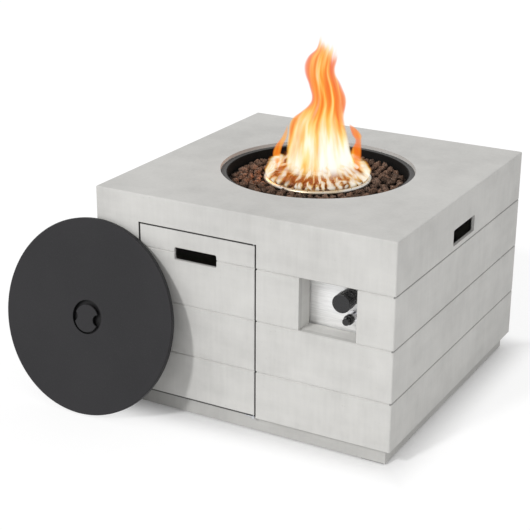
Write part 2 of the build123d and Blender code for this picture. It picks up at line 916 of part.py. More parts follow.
def lid_plate():
    """A pressed disc with a turned-down rim and a hole for the grip cup."""
    disc = rod((0, 0, -lid_depth), up_way, lid_depth, lid_radius)
    disc = fillet(disc.faces().sort_by(Axis.Z)[-1].edges(), lid_edge_round)
    hollow_radius = lid_radius - lid_sheet
    hollow = rod((0, 0, -lid_depth), up_way, lid_depth - lid_sheet, hollow_radius)
    hollow = fillet(hollow.faces().sort_by(Axis.Z)[-1].edges(), lid_edge_round - lid_sheet)
    return lid_place * (disc - hollow - rod((0, 0, -lid_depth), up_way, lid_depth, cup_radius))


def lid_cup():
    under = -lid_sheet - cup_sheet
    cup = turned(
        (0, -cup_depth),
        (cup_radius, -cup_depth),
        (cup_radius, under),
        (cup_radius + cup_flange, under),
        (cup_radius + cup_flange, -lid_sheet),
        (cup_radius, -lid_sheet),
        (cup_radius, 0),
        (cup_radius - cup_sheet, 0),
        (cup_radius - cup_sheet, cup_sheet - cup_depth),
        (0, cup_sheet - cup_depth),
    )
    return lid_place * cup - lid_screw()


def lid_grip():
    """A disc on a post, with a finger notch on the left and a deeper one on the right."""
    under = grip_rise - grip_thickness
    disc = rod((0, -grip_sag, under), up_way, grip_thickness, grip_radius)
    for hand, depth in ((-1, grip_left_notch), (1, grip_right_notch)):
        x = hand * (grip_radius + grip_notch_radius - depth)
        start = (x, -grip_sag, under - over)
        disc = disc - rod(start, up_way, grip_thickness + 2 * over, grip_notch_radius)
    disc = chamfer(disc.faces().sort_by(Axis.Z)[-1].edges(), grip_edge)
    cup_floor = cup_sheet - cup_depth
    post = rod((0, 0, cup_floor), up_way, under - cup_floor, grip_post_radius)
    return lid_place * (disc + post) - lid_screw()


def lid_screw():
    length = cup_depth + grip_rise - grip_thickness
    shank = rod((0, 0, -cup_depth), up_way, length, screw_radius)
    head = rod((0, 0, -cup_depth), down_way, screw_head, screw_head_radius)
    return lid_place * (shank + head)


def solids_of(shape):
    if isinstance(shape, (list, tuple)):
        return [solid for item in shape for solid in item.solids()]
    return list(shape.solids())


nodes = {
    "top_slab": top_slab(),
    "front_panel": front_panel(),
    "back_panel": back_panel(),
    "right_panel": side_panel(1),
    "left_panel": side_panel(-1),
    "corner_posts": corner_posts(),
    **plinth_rails(),
    "base_board": base_board(),
    "feet": feet(),
    "tank_ring": tank_ring(),
    "pivot_bush": pivot_bush(),
    "pivot_bracket": pivot_bracket(),
    "magnet_catch": magnet_catch(),
    "cabinet_screws": screws,
    "fire_pan": fire_pan(),
    "heat_shield": heat_shield(),
    "shield_studs": shield_studs(),
    "lava_bed": lava_bed(),
    "lava_rocks": lava_rocks(),
    "burner_ring": burner_ring(),
    "burner_spokes": burner_spokes(),
    "burner_hub": burner_hub(),
    "inlet_nipple": inlet_nipple(),
    "nipple_nuts": nipple_nuts(),
    "air_mixer": air_mixer(),
    "gas_elbow": gas_elbow(),
    "gas_pipe": gas_pipe(),
    "pipe_nuts": pipe_nuts(),
    "sensor_bracket": sensor_bracket(),
    "electrode": electrode(),
    "thermocouple": thermocouple(),
    "niche_liner": niche_liner(),
    "control_plate": control_plate(),
    "knob_bezel": knob_bezel(),
    "valve_body": valve_body(),
    "gas_inlet": gas_inlet(),
    "igniter_body": igniter_body(),
    "igniter_ring": igniter_ring(),
    "igniter_cap": igniter_cap(),
    "door_panel": door_panel(),
    "pivot_pins": pivot_pins(),
    "strike_plate": strike_plate(),
    "lid_plate": lid_plate(),
    "lid_cup": lid_cup(),
    "lid_grip": lid_grip(),
    "lid_screw": lid_screw(),
    "return_collar": return_collar(),
    "control_knob": control_knob(),
    "valve_stem": valve_stem(),
    "igniter_button": igniter_button(),
}

os.makedirs("parts", exist_ok=True)
for name, shape in nodes.items():
    export_step(Compound(children=solids_of(shape)), f"parts/{name}.step")
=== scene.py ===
import json
import random
from math import cos, hypot, pi, radians, sin, tau

import bmesh
import bpy
import numpy as np
from mathutils import Matrix, Vector, noise


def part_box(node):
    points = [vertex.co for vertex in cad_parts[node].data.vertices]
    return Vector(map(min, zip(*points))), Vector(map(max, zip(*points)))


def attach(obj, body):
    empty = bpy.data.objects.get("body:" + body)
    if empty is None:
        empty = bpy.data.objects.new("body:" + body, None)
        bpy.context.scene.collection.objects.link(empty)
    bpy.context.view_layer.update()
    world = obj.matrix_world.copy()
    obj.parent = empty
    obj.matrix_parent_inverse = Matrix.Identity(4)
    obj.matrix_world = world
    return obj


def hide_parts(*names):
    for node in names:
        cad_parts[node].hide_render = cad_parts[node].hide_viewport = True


# A square gas fire table with its lid leaned on the front. Metres, in the frame of the
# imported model: the origin on the floor under the middle of the cabinet, front to -Y.

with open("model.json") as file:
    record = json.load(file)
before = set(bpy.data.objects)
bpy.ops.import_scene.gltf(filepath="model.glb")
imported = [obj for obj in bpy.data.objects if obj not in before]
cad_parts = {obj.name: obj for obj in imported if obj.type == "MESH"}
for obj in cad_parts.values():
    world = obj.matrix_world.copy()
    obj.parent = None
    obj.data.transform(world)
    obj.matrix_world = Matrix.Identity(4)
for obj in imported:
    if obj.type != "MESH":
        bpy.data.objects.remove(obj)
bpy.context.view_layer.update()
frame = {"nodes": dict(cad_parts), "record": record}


def low_high(node):
    """A CAD node's lowest and highest corners."""
    low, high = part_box(node)
    return Vector(low), Vector(high)


def put_in_scene(name, data):
    placed = bpy.data.objects.new(name, data)
    bpy.context.scene.collection.objects.link(placed)
    return placed


# Shader nodes ----------------------------------------------------------------


class Wire:
    """An output socket; arithmetic on it adds Math nodes."""

    def __init__(self, finish, socket):
        self.finish = finish
        self.socket = socket

    def maths(self, operation, *values):
        settings = {"operation": operation}
        return self.finish.node("Math", settings, dict(enumerate(values)))

    def __add__(self, other):
        return self.maths("ADD", self, other)

    def __radd__(self, other):
        return self.maths("ADD", other, self)

    def __sub__(self, other):
        return self.maths("SUBTRACT", self, other)

    def __rsub__(self, other):
        return self.maths("SUBTRACT", other, self)

    def __mul__(self, other):
        return self.maths("MULTIPLY", self, other)

    def __rmul__(self, other):
        return self.maths("MULTIPLY", other, self)

    def __truediv__(self, other):
        return self.maths("DIVIDE", self, other)

    def __gt__(self, other):
        return self.maths("GREATER_THAN", self, other)

    def __lt__(self, other):
        return self.maths("LESS_THAN", self, other)

    def __abs__(self):
        return self.maths("ABSOLUTE", self)

    def root(self):
        return self.maths("SQRT", self)

    def most(self, other):
        return self.maths("MAXIMUM", self, other)

    def step(self, low, high):
        """0 below low, 1 above high and smooth between them."""
        settings = {"interpolation_type": "SMOOTHSTEP"}
        return self.finish.node("MapRange", settings, {0: self, 1: low, 2: high})


class Finish:
    """A material, or the world, and the few kinds of node that its recipe needs."""

    def __init__(self, name, kept_in=bpy.data.materials):
        self.block = kept_in.new(name)
        self.block.use_nodes = True
        self.tree = self.block.node_tree
        self.tree.nodes.clear()

    def node(self, kind, settings=None, inputs=None, output=0):
        """Adds a shader node, sets it up and fills its sockets with numbers or wires."""
        made = self.tree.nodes.new("ShaderNode" + kind)
        for name, value in (settings or {}).items():
            if name == "stops":
                self.fill_ramp(made.color_ramp, value)
            elif name == "curve":
                self.fill_curve(made.mapping, value)
            else:
                setattr(made, name, value)
        for name, value in (inputs or {}).items():
            if isinstance(value, Wire):
                self.tree.links.new(value.socket, made.inputs[name])
            else:
                made.inputs[name].default_value = value
        return Wire(self, made.outputs[output]) if len(made.outputs) else None

    def fill_ramp(self, ramp, stops):
        while len(ramp.elements) < len(stops):
            ramp.elements.new(0.5)
        for element, (place, colour) in zip(ramp.elements, stops):
            element.position = place
            element.color = (*colour, 1)

    def fill_curve(self, mapping, points):
        curve = mapping.curves[0]
        while len(curve.points) < len(points):
            curve.points.new(0.5, 0.5)
        for point, place in zip(curve.points, points):
            point.location = place
        mapping.update()

    def outputs(self, wire, names):
        """Named outputs of the node that a wire comes from."""
        return [Wire(self, wire.socket.node.outputs[name]) for name in names]

    def place(self, stretch=(1, 1, 1)):
        """Position in the piece's own frame, scaled along each axis."""
        own = self.node("TexCoord", output="Object")
        return self.node("Mapping", {}, {"Vector": own, "Scale": stretch})

    def axes(self):
        """X, Y and Z in the piece's own frame."""
        own = self.node("TexCoord", output="Object")
        return self.outputs(self.node("SeparateXYZ", {}, {0: own}), range(3))

    def cloud(self, scale, detail, stretch=(1, 1, 1), roughness=0.5, vector=None):
        """Noise round 0.5, with scale in blobs a metre and detail in finer layers."""
        where = vector or self.place(stretch)
        inputs = {"Vector": where, "Scale": scale, "Detail": detail, "Roughness": roughness}
        return self.node("TexNoise", {}, inputs)

    def cells(self, scale):
        """Distance from the nearest of scattered points, with scale in points a metre."""
        inputs = {"Vector": self.place(), "Scale": scale}
        return self.node("TexVoronoi", {}, inputs, "Distance")

    def curve(self, share, points):
        return self.node("FloatCurve", {"curve": points}, {"Value": share})

    def ramp(self, share, stops):
        return self.node("ValToRGB", {"stops": stops}, {0: share})

    def blend(self, share, first, second):
        """Two colours mixed by a share from 0 to 1."""
        colours = [c if isinstance(c, Wire) else (*c, 1) for c in (first, second)]
        inputs = {0: share, 6: colours[0], 7: colours[1]}
        return self.node("Mix", {"data_type": "RGBA"}, inputs, 2)

    def bump(self, height, depth, strength, under=None):
        """Relief of a depth in metres, laid over the relief under it."""
        inputs = {"Height": height, "Distance": depth, "Strength": strength}
        if under:
            inputs["Normal"] = under
        return self.node("Bump", {}, inputs)

    def surface(self, **sockets):
        """The Principled shader; its socket names have _ for spaces."""
        named = {name.replace("_", " "): value for name, value in sockets.items()}
        return self.finish_with(self.node("BsdfPrincipled", {}, named))

    def finish_with(self, shader, socket="Surface"):
        self.node("OutputMaterial", {}, {socket: shader})
        return self.block


def length(across, along):
    return (across * across + along * along).root()


# Finishes --------------------------------------------------------------------

# Painted shade, darkening the side boards' seams, the gap round the door, the plinth just under
# the door and the groove round the control plate.
SEAM_LEVELS = (0.437, 0.304, 0.171)  # Z between the side boards
SEAM_HALF_HEIGHT = 0.0026
SEAM_FADE = (0.0004, 0.0022)  # painted shade sets in between these depths
SEAM_DEEPEST = 0.006
SEAM_SHADE = 0.62
GAP_SHADE = 0.94
GAP_DEPTH = 0.02
UNDER_DOOR = 0.0078  # how far the gap's painted shade reaches down the plinth
PLATE_GAP = 0.0035
EDGE = 0.0003  # keeps the painted shade off the faces beside it


def within(x, z, low, high, spare):
    """1 in front of or behind a box that is wider and higher by a spare width, else 0."""
    return (x > low.x - spare) * (x < high.x + spare) * (z > low.z - spare) * (z < high.z + spare)


def seam_and_gap_shade(coat):
    """Painted shade in the side boards' seams, in the gap round the door and on the plinth just
    under the door.
    """
    x, y, z = coat.axes()
    low, high = low_high("door_panel")
    near, far = low_high("front_panel")
    gap = low.z - near.z
    foot = low_high("plinth_front")[1].z - UNDER_DOOR
    beside = (x > low.x - gap) * (x < high.x + gap) * (z < high.z + gap) * (z > foot)
    off_door = 1 - within(x, z, low, high, -EDGE)
    in_gap = beside * off_door * (y > near.y + EDGE) * (y < near.y + GAP_DEPTH)
    depth = far.x - abs(x)
    in_board = depth.step(*SEAM_FADE) * (depth < SEAM_DEEPEST)
    at_seam = sum(abs(z - level) < SEAM_HALF_HEIGHT for level in SEAM_LEVELS)
    return (in_gap * GAP_SHADE).most(at_seam * in_board * SEAM_SHADE)


def plate_groove_shade(coat):
    """Painted shade in the groove round the control plate."""
    x, y, z = coat.axes()
    low, high = low_high("control_plate")
    return within(x, z, low, high, 2 * PLATE_GAP) * (y > low.y - PLATE_GAP) * GAP_SHADE


CEMENT_GREYS = ((0.38, 0.550), (0.50, 0.610), (0.62, 0.660))  # tone, grey
CEMENT_WARMTH = (1.0, 0.989, 0.955)
CEMENT_SPECK = (0.44, 0.435, 0.42)
CEMENT_PIT = (0.36, 0.355, 0.34)
# Colour of the painted shade in the seams, gaps and grooves.
JOINT_SHADE = (0.10, 0.10, 0.098)


def cement(name, painted_lightness=1.0, painted_shade_share=seam_and_gap_shade):
    """Pale trowelled cement: soft clouds, trowel streaks, a fine grain and pits, with painted
    shade in the joints. A lightness other than 1 makes a lighter or darker copy, which is painted
    light or shade.
    """
    coat = Finish(name)
    clouds = coat.cloud(4.5, 4, roughness=0.55)
    patches = coat.cloud(17, 5, roughness=0.6)
    trowelled = coat.cloud(9, 6, stretch=(0.35, 0.35, 3.2), roughness=0.6)
    drawn_down = coat.cloud(110, 3, stretch=(1, 1, 0.10), roughness=0.6)
    grain = coat.cloud(520, 3, roughness=0.7)
    pits = coat.cloud(60, 1).step(0.62, 0.70) * (1 - coat.cells(95).step(0.06, 0.16))

    tone = clouds * 0.40 + patches * 0.26 + trowelled * 0.20 + drawn_down * 0.14
    pale = coat.ramp(tone, [
        (place, tuple(grey * painted_lightness * part for part in CEMENT_WARMTH))
        for place, grey in CEMENT_GREYS
    ])
    speck_share = grain.step(0.62, 0.80) * 0.16
    pit_share = pits * 0.35
    speckled = coat.blend(speck_share, pale, CEMENT_SPECK)
    pitted = coat.blend(pit_share, speckled, CEMENT_PIT)
    # Painted shade: the joints and gaps are darkened.
    colour = coat.blend(painted_shade_share(coat), pitted, JOINT_SHADE)

    rough = 0.74 + 0.16 * patches
    waves = patches * 0.5 + trowelled * 0.5
    relief = coat.bump(waves, depth=0.0008, strength=0.35)
    relief = coat.bump(grain, depth=0.0003, strength=0.35, under=relief)
    relief = coat.bump(1 - pits, depth=0.0008, strength=0.6, under=relief)
    return coat.surface(Base_Color=colour, Roughness=rough, Specular_IOR_Level=0.35, Normal=relief)


CHARCOAL = ((0.0165, 0.0160, 0.0178), (0.0195, 0.0188, 0.0208), (0.034, 0.033, 0.037))


def charcoal_coat(name, painted_lightness=1.0):
    """Satin powder coat: a fine even texture, light grit and a faint cloud in its gloss. A
    lightness other than 1 makes a darker or lighter copy, which is painted shade or light.
    """
    coat = Finish(name)
    clouds = coat.cloud(6, 3)
    orange_peel = coat.cloud(850, 2)
    grit_share = coat.cloud(420, 3, roughness=0.7).step(0.50, 0.72) * 0.45
    dark, light, gritty = [tuple(part * painted_lightness for part in tone) for tone in CHARCOAL]
    even = coat.blend(clouds.step(0.35, 0.65), dark, light)
    colour = coat.blend(grit_share, even, gritty)
    rough = 0.42 + 0.12 * clouds
    relief = coat.bump(orange_peel, depth=0.0002, strength=0.30)
    return coat.surface(Base_Color=colour, Roughness=rough, Specular_IOR_Level=0.28, Normal=relief)


def bowl_coat():
    """Heat-proof paint: dark grey on the flange, sooty black inside the bowl."""
    coat = Finish("bowl_coat")
    x, y, _ = coat.axes()
    wall = low_high("lava_bed")[1].x
    on_flange = length(x, y).step(wall + 0.0015, wall + 0.0035)
    soot = coat.cloud(24, 4)
    inside = coat.blend(soot, (0.005, 0.0048, 0.0046), (0.013, 0.0125, 0.012))
    flange = coat.blend(soot, (0.064, 0.063, 0.062), (0.092, 0.091, 0.089))
    return coat.surface(
        Base_Color=coat.blend(on_flange, inside, flange),
        Roughness=0.62 - 0.20 * on_flange + 0.1 * soot,
        Metallic=0.35 * on_flange,
        Specular_IOR_Level=0.12,
        Normal=coat.bump(coat.cloud(700, 2), depth=0.0002, strength=0.3),
    )


def burner_steel():
    """Stainless tube with a faint straw and blue heat tint."""
    coat = Finish("burner_steel")
    tint = coat.cloud(14, 3)
    straw = coat.blend(tint.step(0.40, 0.60), (0.66, 0.64, 0.60), (0.60, 0.50, 0.36))
    colour = coat.blend(tint.step(0.62, 0.75), straw, (0.36, 0.34, 0.44))
    scratches = coat.cloud(900, 2, stretch=(1, 1, 0.1))
    rough = 0.30 + 0.18 * scratches
    relief = coat.bump(scratches, depth=0.0001, strength=0.2)
    return coat.surface(Base_Color=colour, Roughness=rough, Metallic=1.0, Normal=relief)


LAVA_SHADES = (
    (0.0, (0.060, 0.038, 0.028)),
    (0.35, (0.120, 0.070, 0.046)),
    (0.65, (0.215, 0.120, 0.078)),
    (1.0, (0.170, 0.130, 0.105)),
)
LAVA_CRUST = (0.34, 0.245, 0.19)
LAVA_PORE = (0.014, 0.009, 0.007)
LAVA_SUNKEN_SHADE = (0.010, 0.008, 0.007)


def lava():
    """Porous rock, each lump its own tone from charcoal to red-brown, with painted shade darkening
    it low down between the stones.
    """
    coat = Finish("lava")
    lump = coat.node("NewGeometry", output="Random Per Island")
    rust = coat.cloud(55, 4, roughness=0.65)
    crust_share = coat.cloud(230, 3, roughness=0.7).step(0.52, 0.66) * 0.55
    pores = 1 - coat.cells(260).step(0.14, 0.48)
    above_bed = coat.axes()[2] - low_high("lava_bed")[1].z
    # Painted shade: darker low down, where the stones shade each other.
    sunken_shade = 1 - above_bed.step(0.002, 0.017)
    shade = coat.ramp(lump * 0.6 + rust * 0.45, LAVA_SHADES)
    crusted = coat.blend(crust_share, shade, LAVA_CRUST)
    pitted = coat.blend(pores * 0.9, crusted, LAVA_PORE)
    colour = coat.blend(sunken_shade * 0.85, pitted, LAVA_SUNKEN_SHADE)
    relief = coat.bump(rust, depth=0.005, strength=0.7)
    relief = coat.bump(1 - pores, depth=0.0026, strength=1.0, under=relief)
    return coat.surface(Base_Color=colour, Roughness=0.92, Specular_IOR_Level=0.25, Normal=relief)


def brushed_plate():
    """Bright stainless sheet brushed along X."""
    coat = Finish("brushed_plate")
    lines = coat.cloud(130, 4, stretch=(0.12, 1, 3.0), roughness=0.7).step(0.40, 0.58)
    smears = coat.cloud(16, 2)
    colour = coat.blend(lines, (0.90, 0.90, 0.895), (1.0, 1.0, 0.995))
    rough = 0.34 + 0.16 * lines + 0.08 * smears
    relief = coat.bump(lines, depth=0.0001, strength=0.25)
    return coat.surface(Base_Color=colour, Roughness=rough, Metallic=0.7, Normal=relief)


def moulded_black(name, least_rough, most_rough):
    """Black moulded plastic, from gloss to satin."""
    coat = Finish(name)
    smears = coat.cloud(45, 2)
    colour = coat.blend(smears, (0.010, 0.010, 0.011), (0.016, 0.016, 0.017))
    rough = least_rough + (most_rough - least_rough) * smears
    relief = coat.bump(coat.cloud(1600, 2), depth=0.0001, strength=0.15)
    return coat.surface(Base_Color=colour, Roughness=rough, Specular_IOR_Level=0.5, Normal=relief)


def plain_metal(name, dark, light, roughness, grain=900):
    """Cast, plated, drawn or turned metal, told apart by colour, gloss and grain."""
    coat = Finish(name)
    texture = coat.cloud(grain, 2)
    colour = coat.blend(coat.cloud(35, 3), dark, light)
    rough = roughness * 0.8 + roughness * 0.4 * texture
    relief = coat.bump(texture, depth=0.0001, strength=0.3)
    return coat.surface(Base_Color=colour, Roughness=rough, Metallic=1.0, Normal=relief)


def plain_board():
    """Raw softwood board for the hidden posts and the base."""
    coat = Finish("plain_board")
    rings = coat.cloud(38, 4, stretch=(6, 6, 0.35), roughness=0.6)
    colour = coat.blend(rings.step(0.35, 0.68), (0.46, 0.33, 0.20), (0.60, 0.46, 0.30))
    relief = coat.bump(rings, depth=0.0004, strength=0.4)
    return coat.surface(Base_Color=colour, Roughness=0.75, Normal=relief)


def foot_rubber():
    coat = Finish("foot_rubber")
    grain = coat.cloud(600, 2)
    colour = coat.blend(grain, (0.018, 0.018, 0.018), (0.032, 0.032, 0.032))
    relief = coat.bump(grain, depth=0.0002, strength=0.4)
    return coat.surface(Base_Color=colour, Roughness=0.85, Normal=relief)


def ceramic_rod():
    """Off-white ceramic with a little heat stain."""
    coat = Finish("ceramic_rod")
    stain = coat.cloud(120, 3)
    colour = coat.blend(stain.step(0.45, 0.7), (0.80, 0.79, 0.75), (0.58, 0.53, 0.46))
    relief = coat.bump(stain, depth=0.0001, strength=0.2)
    return coat.surface(Base_Color=colour, Roughness=0.45, Normal=relief)


def port_shadow():
    """The dark inside of the gas holes."""
    coat = Finish("port_shadow")
    colour = coat.blend(coat.cloud(400, 2), (0.004, 0.004, 0.004), (0.012, 0.010, 0.009))
    return coat.surface(Base_Color=colour, Roughness=0.9)


slot_finish = {
    "concrete": cement("cement"),
    "base_wood": plain_board(),
    "foot_rubber": foot_rubber(),
    "black_coat": bowl_coat(),
    "charcoal_coat": charcoal_coat("charcoal_coat"),
    "zinc_steel": plain_metal("zinc_steel", (0.50, 0.51, 0.53), (0.62, 0.63, 0.65), 0.38),
    "burner_steel": burner_steel(),
    "lava_stone": lava(),
    "plate_steel": brushed_plate(),
    "black_plastic": moulded_black("satin_black", 0.20, 0.34),
    "cast_alloy": plain_metal("cast_alloy", (0.42, 0.42, 0.43), (0.52, 0.52, 0.53), 0.55, 500),
    "brass": plain_metal("turned_brass", (0.66, 0.48, 0.20), (0.78, 0.60, 0.30), 0.28),
    "pipe_metal": plain_metal("drawn_tube", (0.56, 0.56, 0.57), (0.66, 0.66, 0.67), 0.30),
    "chrome": plain_metal("chrome", (0.62, 0.62, 0.64), (0.74, 0.74, 0.76), 0.12),
    "ceramic": ceramic_rod(),
    "sensor_metal": plain_metal("copper_tip", (0.50, 0.26, 0.15), (0.68, 0.38, 0.24), 0.35),
}
node_finish = {
    # Painted shade: the grip's cup is a darkened copy of the charcoal coat.
    "lid_cup": charcoal_coat("charcoal_cup_shaded", 0.35),
    "igniter_button": moulded_black("gloss_black", 0.06, 0.12),
    # Painted light: the niche walls are a lightened copy of the cement, against the shade in the
    # niche.
    "niche_liner": cement("niche_cement_lightened", 1.14, plate_groove_shade),
    "burner_spokes": plain_metal("sooty_steel", (0.10, 0.095, 0.09), (0.20, 0.19, 0.18), 0.5),
}
# Painted shade: the plinth is a darkened copy of the cement.
plinth_cement_shaded = cement("plinth_cement_shaded", 0.84)
for side in ("front", "right", "left", "back"):
    node_finish["plinth_" + side] = plinth_cement_shaded


def dress_nodes():
    """Gives every CAD node its own finish, or else the one of its slot."""
    slot_of = {part["node"]: part["material_slot"] for part in frame["record"]["subparts"]}
    for name, node in frame["nodes"].items():
        finish = node_finish.get(name) or slot_finish[slot_of[name]]
        for material_slot in node.material_slots:
            material_slot.material = finish


# Pieces ----------------------------------------------------------------------


def new_piece(name, mesh, finish, body):
    """A mesh object that rides on a body."""
    piece = put_in_scene(name, mesh)
    piece.data.materials.append(finish)
    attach(piece, body)
    return piece


def mesh_from(name, points, faces, smooth=False):
    mesh = bpy.data.meshes.new(name)
    mesh.from_pydata([tuple(p) for p in points], [], [tuple(f) for f in faces])
    mesh.validate()
    if smooth:
        mesh.shade_smooth()
    return mesh


# Lava rock

STONE_SEED = 11
STONE_SHAPES = 14
STONE_CUTS = 7  # flats broken off each lump
CUT_FACING = 0.55  # a cut takes off what faces it by more than this
CUT_AT = 0.62  # how far it is from the middle
CUT_ROUNDING = 0.06
SWELLS = (1.7, 0.24)  # noise scale and height
KNOBS = (3.4, 0.22)
CRUMBS = (8.0, 0.09)
STONE_TRIM = 0.05  # taken off all over, to offset the knobs
STONE_SMALL = 0.0095  # half size
STONE_LARGE = 0.0165
STONE_TRIES = 26000
MIXED_TRIES = 0.7  # share of the tries before only small stones fill in
STONE_OVERLAP = 0.80  # least distance between two, as a share of their half sizes
STONE_SINK = 0.62  # height over the bed, as a share of the half size
STONE_LIFT = 0.006
STONE_SPARE = 0.80  # room kept from the burner and hub, as a share of the half size
SPOKE_SPARE = 0.75
WALL_SPARE = 0.0005


def stone_reach(way, cuts, seed):
    """How far a lump's surface is from its middle, in a direction."""
    def relief(scale, height):
        return height * noise.noise(way * scale + seed)

    reach = 1.0
    for cut in cuts:
        facing = way.dot(cut)
        if facing > CUT_FACING:
            reach = min(reach, CUT_AT / facing + CUT_ROUNDING)
    reach *= 1 + relief(*SWELLS)
    return reach + (abs(relief(*KNOBS)) + relief(*CRUMBS) - STONE_TRIM)


def stone_shapes(rng):
    """Rough lumps of about unit radius, as (points, faces)."""
    shapes = []
    for _ in range(STONE_SHAPES):
        lump = bmesh.new()
        bmesh.ops.create_icosphere(lump, subdivisions=3, radius=1.0)
        seed = Vector([rng.uniform(-50, 50) for _ in range(3)])
        cuts = [
            Vector([rng.gauss(0, 1) for _ in range(3)]).normalized() for _ in range(STONE_CUTS)
        ]
        for vert in lump.verts:
            way = vert.co.normalized()
            vert.co = way * stone_reach(way, cuts, seed)
        points = np.array([v.co[:] for v in lump.verts])
        faces = np.array([[v.index for v in f.verts] for f in lump.faces])
        lump.free()
        shapes.append((points, faces))
    return shapes


def stone_places(rng):
    """Scattered centres with their half sizes, clear of the burner, spokes, hub and sensors."""
    bed_high = low_high("lava_bed")[1]
    rocks_high = low_high("lava_rocks")[1]
    ring_low, ring_high = low_high("burner_ring")
    sensor_low, sensor_high = low_high("sensor_bracket")
    hub_high = low_high("burner_hub")[1]
    spoke_high = low_high("burner_spokes")[1]
    tube = (ring_high.z - ring_low.z) / 2
    ring_centre = ring_high.x - tube
    ring_z = ring_high.z - tube
    reach = rocks_high.x - WALL_SPARE
    mixed = STONE_TRIES * MIXED_TRIES
    places = []
    for i in range(STONE_TRIES):
        size = rng.uniform(STONE_SMALL, STONE_LARGE) if i < mixed else STONE_SMALL
        out = (reach - size) * rng.random() ** 0.5
        turn = rng.random() * tau
        x, y = out * cos(turn), out * sin(turn)
        lift = rng.random() ** 2 * STONE_LIFT
        z = bed_high.z + size * STONE_SINK + lift
        if z + size > rocks_high.z:
            z = rocks_high.z - size
        by_ring = hypot(out - ring_centre, z - ring_z) <= tube + size * STONE_SPARE
        by_hub = out <= hub_high.x + size * STONE_SPARE
        by_spoke = out < ring_centre and abs(y) < spoke_high.y + size * SPOKE_SPARE
        by_sensor = (sensor_low.x - size < x < sensor_high.x + size
                     and sensor_low.y - size < y < sensor_high.y + size)
        if by_ring or by_hub or by_spoke or by_sensor:
            continue
        if all(
            (x - px) ** 2 + (y - py) ** 2 + (z - pz) ** 2 > (STONE_OVERLAP * (size + ps)) ** 2
            for px, py, pz, ps in places
        ):
            places.append((x, y, z, size))
    return places


def lava_stones():
    """The loose top layer of rock as one mesh of separate lumps."""
    rng = random.Random(STONE_SEED)
    shapes = stone_shapes(rng)
    points, faces, count = [], [], 0
    for x, y, z, size in stone_places(rng):
        shape_points, shape_faces = rng.choice(shapes)
        spin = Matrix.Rotation(rng.random() * tau, 3, "Z")
        turn = spin @ Matrix.Rotation(rng.random() * tau, 3, "X")
        squeeze = [rng.uniform(0.85, 1.1), rng.uniform(0.75, 1.0), rng.uniform(0.7, 0.95)]
        turned = (shape_points * np.array(squeeze) * size) @ np.array(turn).T
        points.append(turned + np.array((x, y, z)))
        faces.append(shape_faces + count)
        count += len(turned)
    mesh = mesh_from("lava_stones", np.vstack(points), np.vstack(faces), smooth=True)
    piece = new_piece("lava_stones", mesh, slot_finish["lava_stone"], "cabinet")
    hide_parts("lava_rocks")


# Burner ports

PORT_COUNT = 44
PORT_RADIUS = 0.0013
PORT_SIDES = 12
PORT_LEAN = radians(28)  # off the top of the tube
PORT_SUNK = 0.00004  # its rim, into the tube
PORT_CROWN = 0.0001  # its middle, over the rim


def burner_ports():
    """The gas holes along the ring, in two rows, as small dark discs set in the tube."""
    low, high = low_high("burner_ring")
    tube = (high.z - low.z) / 2
    centre = high.x - tube
    points, faces = [], []
    for i in range(PORT_COUNT):
        turn = tau * i / PORT_COUNT
        lean = PORT_LEAN if i % 2 else -PORT_LEAN
        out = Vector((cos(turn), sin(turn), 0))
        along = Vector((-sin(turn), cos(turn), 0))
        normal = out * sin(lean) + Vector((0, 0, 1)) * cos(lean)
        across = along.cross(normal)
        middle = out * centre + Vector((0, 0, low.z + tube)) + normal * (tube - PORT_SUNK)
        rim = len(points)
        crown = rim + PORT_SIDES
        for k in range(PORT_SIDES):
            angle = tau * k / PORT_SIDES
            points.append(middle + (along * cos(angle) + across * sin(angle)) * PORT_RADIUS)
            faces.append((rim + k, rim + (k + 1) % PORT_SIDES, crown))
        points.append(middle + normal * PORT_CROWN)
    mesh = mesh_from("burner_ports", points, faces)
    new_piece("burner_ports", mesh, port_shadow(), "cabinet")


# Flame -----------------------------------------------------------------------
#
# Burning gas, drawn as one volume. It is part of the stage, not of the table.

FLAME_DRIFTS = radians(29.02)  # the side that it drifts to, round from +X

# Main flame: height over the burner, drift, half width
FLAME_TOP = 0.44
FLAME_SHAPE = (
    (0.000, 0.010, 0.086),
    (0.025, 0.010, 0.089),
    (0.055, 0.006, 0.083),
    (0.102, 0.001, 0.073),
    (0.143, -0.002, 0.064),
    (0.162, 0.008, 0.054),
    (0.179, 0.018, 0.047),
    (0.198, 0.023, 0.043),
    (0.234, 0.013, 0.041),
    (0.275, -0.001, 0.038),
    (0.306, 0.005, 0.037),
    (0.330, 0.019, 0.030),
    (0.370, 0.021, 0.024),
    (0.440, 0.030, 0.018),
)
DRIFT_SPAN = 0.3  # what the curves' 0 to 1 stand for
WIDTH_SPAN = 0.1
FLAME_RIM = (0.92, 1.03)  # fades out here, in half widths
FLAME_FOOT = (0.004, 0.045)  # fades in over this height
FLAME_TORN = (0.62, 0.90)  # breaks up here, as a share of its top
FLAME_LIT = 0.56  # brighter below this share of its top
STREAK_BEND = 12  # how far the streaks follow the drift
STREAK_DEEP = 0.45
STREAK_HIGH = 2.2
HEAT = 0.52
FOOT_HEAT = 0.66
RIM_COOLING = 0.48
STREAK_HEAT = 2.6

# Loose tongues: how far back, bottom, top, and the same three columns
LEFT_TONGUE = (0.02, 0.018, 0.128, (
    (0.020, -0.101, 0.004),
    (0.045, -0.106, 0.010),
    (0.070, -0.101, 0.010),
    (0.095, -0.087, 0.007),
    (0.128, -0.079, 0.001),
))
RIGHT_TONGUE = (0.03, 0.010, 0.128, (
    (0.010, 0.098, 0.014),
    (0.060, 0.100, 0.013),
    (0.085, 0.104, 0.008),
    (0.100, 0.099, 0.012),
    (0.128, 0.080, 0.001),
))
TONGUE_RIM = (0.7, 1.1)

